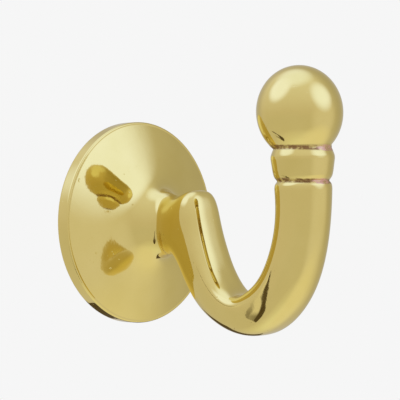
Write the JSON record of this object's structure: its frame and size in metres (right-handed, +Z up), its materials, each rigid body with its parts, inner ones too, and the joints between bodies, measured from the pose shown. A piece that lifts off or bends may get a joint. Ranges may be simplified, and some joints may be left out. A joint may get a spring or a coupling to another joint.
{
  "type": "curtain holdback",
  "caption": "Polished brass curtain tieback hook: a U-shaped arm with a collar and ball end, cast in one with a round domed wall rose.",
  "frame": {"origin": "middle of the rose's flat back, at the mouth of the fixing hole", "axes": "+Y into the wall, +Z up, so the hook reaches away from the wall along -Y and is symmetric about X = 0"},
  "size_m": [0.036, 0.0477, 0.0451],
  "materials": {
    "brass": "polished"
  },
  "bodies": {
    "root": {"holdback_hook": "brass"}
  },
  "joints": []
}
